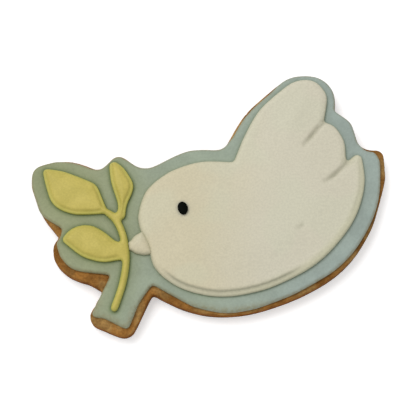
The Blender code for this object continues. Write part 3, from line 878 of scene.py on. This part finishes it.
def crumb_tree():
    """Moves a smooth biscuit's surface inwards by a swell, a crumb and scattered pits."""
    tree, size = start_tree("baked_crumb", CRUMB_INPUTS)
    place = add_node(tree, "GeometryNodeInputPosition").outputs[0]
    swell = calc(tree, "SUBTRACT", noise_field(tree, place, size["Seed"], 90.0), 0.5)
    crumb = calc(tree, "SUBTRACT", noise_field(tree, place, size["Seed"], 900.0, 4.0), 0.5)
    pits = add_node(tree, "ShaderNodeTexVoronoi", voronoi_dimensions="4D", feature="F1")
    tree.links.new(place, pits.inputs["Vector"])
    tree.links.new(size["Seed"], pits.inputs["W"])
    tree.links.new(calc(tree, "DIVIDE", 0.45, size["Pit Size"]), pits.inputs["Scale"])
    pit = remap(tree, pits.outputs["Distance"], 0.08, 0.34, 1.0, 0.0)
    level = calc(tree, "MULTIPLY", swell, size["Swell"])
    level = calc(tree, "MULTIPLY_ADD", crumb, size["Crumb"], level)
    level = calc(tree, "SUBTRACT", level, calc(tree, "MULTIPLY", pit, size["Pit Depth"]))
    level = calc(tree, "MINIMUM", calc(tree, "SUBTRACT", level, size["Held In"]), 0.0)
    facing = add_node(tree, "GeometryNodeInputNormal").outputs[0]
    moved = add_node(tree, "GeometryNodeSetPosition", size["Geometry"])
    tree.links.new(scaled(tree, facing, level), moved.inputs["Offset"])
    return end_tree(tree, moved.outputs[0], size["Material"])


BAKED_CRUMB = crumb_tree()
print("baked crumb tree:", len(BAKED_CRUMB.nodes), "nodes")

# %% Biscuit
BOTTOM_ROUNDING = 0.8
TOP_ROUNDING = 0.7
HELD_IN = 0.06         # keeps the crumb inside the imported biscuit

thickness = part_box("biscuit")[1].z / MM
levels = sorted({round(v.co.z / MM, 4) for v in nodes["biscuit"].data.vertices})
widest = min(levels, key=lambda z: min(v.co.y for v in nodes["biscuit"].data.vertices
                                       if abs(v.co.z / MM - z) < 1e-3))
rim = smooth_outline(ring_at(nodes["biscuit"], widest * MM), 0.5)
inward = inward_normals(rim)
profile = []                                   # distance inside the rim, height
for k in range(6):
    turn = math.pi / 2 * k / 5
    profile.append((BOTTOM_ROUNDING * (1 - math.sin(turn)), BOTTOM_ROUNDING * (1 - math.cos(turn))))
wall_low, wall_high = BOTTOM_ROUNDING, thickness - TOP_ROUNDING
profile += [(0.0, wall_low + (wall_high - wall_low) * k / 7) for k in range(1, 7)]
for k in range(9):
    turn = math.pi / 2 * k / 8
    profile.append((TOP_ROUNDING * (1 - math.cos(turn)), wall_high + TOP_ROUNDING * math.sin(turn)))
places, faces = [], []
for inset, height in profile:
    places.append(np.column_stack([rim + inward * inset, np.full(len(rim), height)]))
count = len(rim)
for r in range(len(profile) - 1):
    for i in range(count):
        a, b = r * count + i, r * count + (i + 1) % count
        faces.append((a, b, b + count, a + count))
for ring, height, face_up in ((0, 0.0, False), (len(profile) - 1, thickness, True)):
    edge = rim + inward * profile[ring][0]
    fine = 0.55 if face_up else 1.1
    near_edge = ring_points(edge, [fine * k for k in range(1, 7)])
    inner = np.vstack([near_edge, field_points(edge, 1.6, fine * 7)])
    flat, plate, source = triangulated(edge, inner)
    first = sum(len(p) for p in places)
    fresh = np.flatnonzero(source < 0)
    index = np.where(source >= 0, ring * count + source, 0)
    index[fresh] = first + np.arange(len(fresh))
    places.append(np.column_stack([flat[fresh], np.full(len(fresh), height)]))
    for a, b, c in plate:
        faces.append(tuple(index[[a, b, c]]) if face_up else tuple(index[[c, b, a]]))
biscuit = new_piece("cookie_biscuit", np.vstack(places), [tuple(int(i) for i in f) for f in faces])
grow(biscuit, BAKED_CRUMB,
     {"Swell": 0.22 * MM, "Crumb": 0.16 * MM, "Pit Depth": 0.28 * MM, "Pit Size": 1.1 * MM,
      "Held In": HELD_IN * MM, "Seed": 3.0, "Material": DOUGH})
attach(biscuit, "root")
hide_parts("biscuit")

# %% [markdown]
# ## Blue flood
# The whole top was outlined and flooded with thin icing that levelled itself. It lies straight
# on the dough, so its foot goes a little way into the biscuit's top.

# %% Blue flood
CLOSED_GAP = 0.35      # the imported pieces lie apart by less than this; the visual ones touch
FLOOD = {"Foot": 0.50, "Shoulder": 1.0, "Dome": 0.0, "Dome Reach": 6.0, "Undercut": 0.16,
         "Wave Height": 0.10, "Wave Size": 11.0, "Sink": 0.12, "Seed": 1.0}
LEAF_NODES = ("stem", "leaf_large", "leaf_small", "leaf_lower")


def ramp(value, low, high):
    share = np.clip((value - low) / (high - low), 0, 1)
    return share * share * (3 - 2 * share)


def drawn_back(edge, places):
    """An outline that stays back from the biscuit's edge near some places, as poured icing does."""
    depth = np.zeros(len(edge))
    for x, y, reach, amount in places:
        away = np.hypot(*(edge - PLAN_ZERO - (x, y)).T)
        depth = np.maximum(depth, amount * (1 - ramp(away, reach * 0.4, reach)))
    return edge + inward_normals(edge) * depth[:, None]


def plan_places(piece):
    """Where a piece's vertices lie in plan, in millimetres."""
    spots = np.empty(len(piece.data.vertices) * 3)
    piece.data.vertices.foreach_get("co", spots)
    return spots.reshape(-1, 3)[:, :2] / MM


def store_bleed_and_shade(piece, bleed_and_shade):
    """How far a neighbour's colour has run into each vertex, with painted shade, for the material."""
    marked = piece.data.attributes.new("bleed_and_shade", "FLOAT", "POINT")
    marked.data.foreach_set("value", bleed_and_shade.astype(np.float32))


flood_low, flood_high = (corner.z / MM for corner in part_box("blue_flood"))
flood_level = flood_low - CLOSED_GAP
flood_edge = smooth_outline(corners["blue_flood"], 0.4)
bare = [(14.0, 33.5, 11.0, 0.45), (8.5, 25.5, 7.0, 0.40), (50.5, 18.0, 5.0, 0.55),
        (-38.0, 14.5, 9.0, 0.28), (-28.0, 15.0, 5.0, 0.20), (-49.0, 1.0, 6.0, 0.15)]
flood_edge = drawn_back(flood_edge, bare)
flood = icing_piece("cookie_flood", flood_edge, flood_level, 0.6, BLUE,
                    {**FLOOD, "Height": flood_high - flood_level - FLOOD["Wave Height"] / 2})
# A darker green band beside the decor: near the leaves partly their colour run in and partly painted
# contact shadow; near the dove and beak only painted contact shadow.
spots = plan_places(flood)
bleed_and_shade = np.zeros(len(spots))
for name in corners:
    if name not in ("blue_flood", "eye"):
        gap = nearest_on(spots, corners[name])[1]
        deep, reach = (0.95, 1.9) if name in LEAF_NODES else (0.40, 1.0)
        bleed_and_shade = np.maximum(bleed_and_shade, deep * (1 - np.clip(gap / reach, 0, 1)) ** 2)
        if name in LEAF_NODES:
            bleed_and_shade = np.maximum(bleed_and_shade, 0.22 * (1 - np.clip(gap / 4.0, 0, 1)))
store_bleed_and_shade(flood, bleed_and_shade)
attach(flood, "root")
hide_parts("blue_flood")

# %% [markdown]
# ## Dove
# The dove is one pour of thick white icing. Along its belly a first, lower layer still shows,
# and two grooves part the feathers of the wing. A few soft dents and a faint ridge are where
# the icing was nudged before it dried.

# %% Dove
def belly(points):
    """How far the lower layer shows at each point: 1 along the belly, 0 elsewhere."""
    x, y = (points - PLAN_ZERO).T
    below = ramp(x, -15, -9) * (1 - ramp(x, 22, 30)) * (1 - ramp(y, -21, -16))
    tail = 0.25 * ramp(x, 38, 43) * (1 - ramp(y, 12, 17)) * ramp(y, -9, 0)
    return np.maximum(below, tail)


def pressed_line(bends, strengths, spacing=0.2):
    """Points along a bent line, and how hard it presses at each of them."""
    bends = np.array(bends) + PLAN_ZERO
    travelled = np.concatenate([[0], np.cumsum(np.hypot(*np.diff(bends, axis=0).T))])
    at = np.linspace(0, travelled[-1], max(2, int(travelled[-1] / spacing)))
    points = np.stack([np.interp(at, travelled, bends[:, k]) for k in (0, 1)], axis=1)
    return points, np.interp(at, travelled, strengths)


marks = [
    pressed_line([(35.3, 26.4), (33.0, 23.9), (31.0, 21.3), (28.7, 18.4)], (0.8, 0.8, 0.95, 0.3)),
    pressed_line([(41.7, 13.6), (39.8, 11.2), (37.6, 9.1), (34.7, 7.0)], (0.8, 0.8, 0.95, 0.3)),
    pressed_line([(26.6, -7.2), (28.0, -6.4)], (0.30, 0.36)),
    pressed_line([(5.3, -14.0), (6.1, -13.2)], (0.12, 0.12)),
    pressed_line([(29.9, -16.0), (33.0, -14.0)], (-0.14, -0.14)),
]
DOVE = {"Foot": 0.50, "Shoulder": 2.1, "Dome": 0.8, "Dome Reach": 14.0, "Rim Width": 1.3,
        "Rim Shoulder": 0.7, "Middle Shoulder": 0.9, "Rim Wander": 0.3, "Crease Depth": 0.85,
        "Crease Width": 0.6, "Undercut": 0.18, "Wave Height": 0.14, "Wave Size": 9.0,
        "Sink": 0.20, "Seed": 2.0}
DOVE_SPARE = 0.10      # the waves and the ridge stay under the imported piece's top

decor_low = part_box("white_dove")[0].z / MM
decor_level = decor_low - CLOSED_GAP
dove_edge = smooth_outline(corners["white_dove"], 0.35)
dove = icing_piece("cookie_dove", dove_edge, decor_level, 0.55, WHITE,
                   {**DOVE, "Height": 1.6 + CLOSED_GAP - DOVE_SPARE, "Rim Height": 0.78 + CLOSED_GAP},
                   rimmed=belly, lines=[m[0] for m in marks], press=[m[1] for m in marks])
# Greyer round the eye: partly the black run in, partly painted shade round the raised dot.
from_eye = nearest_on(plan_places(dove), corners["eye"])[1]
store_bleed_and_shade(dove, 0.45 * (1 - np.clip(from_eye / 1.1, 0, 1)) ** 2)
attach(dove, "root")
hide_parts("white_dove")


# %% [markdown]
# ## Sprig of leaves
# Each leaf is piped round and then filled, and the stem is one piped bead. All of them were wet
# together, so their rims run into each other without a seam. The sprig is therefore one visual
# piece: the leaves' outlines are drawn out to the stem, the four outlines are united, and the
# sharp inner corners of the result are filled as wet icing fills them. The icing rule does the
# rest, since the distance to the united outline is what shapes a rim.

# %% Uniting outlines
def drawn_to(edge, neighbour, within, overlap):
    """An outline whose nearest points move on until they overlap a neighbour's outline."""
    places, gap = nearest_on(edge, neighbour)
    share = 1 - ramp(gap, within * 0.45, within)
    away = places - edge
    away /= np.maximum(np.hypot(*away.T), 1e-9)[:, None]
    return resampled(edge + away * ((gap + overlap) * share)[:, None], 0.3)


def united(outlines):
    """The outer outline of several that overlap."""
    points, loops = [], []
    for outline in outlines:
        loops.append(list(range(len(points), len(points) + len(outline))))
        points += [Vector(p) for p in outline]
    found = delaunay_2d_cdt(points, [], loops, 1, 1e-5)
    uses = {}
    for face in found[2]:
        for a, b in zip(face, list(face[1:]) + [face[0]]):
            uses[(a, b)] = True
    follow = {a: b for a, b in uses if (b, a) not in uses}
    start = min(follow, key=lambda v: found[0][v].x)
    ring, here = [start], follow[start]
    while here != start:
        ring.append(here)
        here = follow[here]
    return np.array([list(found[0][v]) for v in ring])


def corners_filled(edge, rounds, softened=7):
    """An outline whose inner corners are filled; then all of it is softened a little."""
    edge = resampled(edge, 0.25)
    for step in range(rounds + softened):
        middle = (np.roll(edge, 1, axis=0) + np.roll(edge, -1, axis=0)) / 2 - edge
        outwards = -(middle * inward_normals(edge)).sum(1)
        free = 0.0 if step < rounds else 0.6
        edge = edge + middle * np.where(outwards > 0, 0.8, free)[:, None]
    return resampled(edge, 0.25)


# %% Sprig
SPRIG = {"Foot": 0.45, "Shoulder": 1.15, "Dome": 0.50, "Dome Reach": 4.0, "Rim Width": 0.70,
         "Rim Shoulder": 0.55, "Middle Shoulder": 0.9, "Rim Wander": 0.35, "Undercut": 0.15,
         "Wave Height": 0.14, "Wave Size": 3.0, "Sink": 0.20, "Seed": 5.0}
SPRIG_SPARE = 0.07

stem_edge = smooth_outline(corners["stem"], 0.3)
leaf_edges = {name: drawn_to(smooth_outline(corners[name], 0.3), stem_edge, 1.5, 0.5)
              for name in LEAF_NODES if name != "stem"}
sprig_edge = corners_filled(united([stem_edge] + list(leaf_edges.values())), 4)


def leaf_rims(points):
    """Where a rim shows: along the leaves' lower and right sides, not on the stem."""
    share = np.zeros(len(points))
    toward, gap = nearest_on(points, sprig_edge)
    outward = (toward - points) / np.maximum(gap, 1e-6)[:, None]
    upper = ramp(outward[:, 1], 0.55, 0.95) * (outward[:, 0] < 0.75)
    for edge in leaf_edges.values():
        deep = np.where(is_inside(points, edge), nearest_on(points, edge)[1], 0)
        _, from_stem = nearest_on(points, stem_edge)
        share = np.maximum(share, ramp(deep, -0.01, 0.35) * ramp(from_stem, 0.3, 2.2))
    return share * (1 - 0.8 * upper)


sprig = icing_piece("cookie_sprig", sprig_edge, decor_level, 0.4, GREEN,
                    {**SPRIG, "Height": 1.35 + CLOSED_GAP - SPRIG_SPARE,
                     "Rim Height": 0.74 + CLOSED_GAP}, rimmed=leaf_rims)
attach(sprig, "root")
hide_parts(*LEAF_NODES)

# %% [markdown]
# ## Beak and eye
# The beak is a drop of white that was pulled to a point, with its root pushed against the head.
# The eye is a low dot of black.

# %% Beak and eye
BEAK = {"Foot": 0.45, "Shoulder": 2.6, "Dome": 0.0, "Undercut": 0.15, "Wave Height": 0.10,
        "Wave Size": 2.5, "Sink": 0.20, "Seed": 11.0}
EYE = {"Foot": 0.40, "Shoulder": 1.45, "Dome": 0.0, "Undercut": 0.10, "Wave Height": 0.04,
       "Wave Size": 1.5, "Sink": 0.20, "Seed": 13.0}

beak_edge = drawn_to(smooth_outline(corners["beak"], 0.3), dove_edge, 1.9, 0.5)
beak_edge = drawn_to(beak_edge, sprig_edge, 0.9, 0.05)
beak = icing_piece("cookie_beak", beak_edge, decor_level, 0.4, WHITE,
                   {**BEAK, "Height": 1.9 + CLOSED_GAP - 0.05})
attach(beak, "root")
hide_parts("beak")

eye_low, eye_high = (corner.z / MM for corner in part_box("eye"))
eye_level = eye_low - CLOSED_GAP
eye_edge = smooth_outline(corners["eye"], 0.2)
eye = icing_piece("cookie_eye", eye_edge, eye_level, 0.3, BLACK,
                  {**EYE, "Height": eye_high - eye_level - 0.02})
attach(eye, "root")
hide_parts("eye")
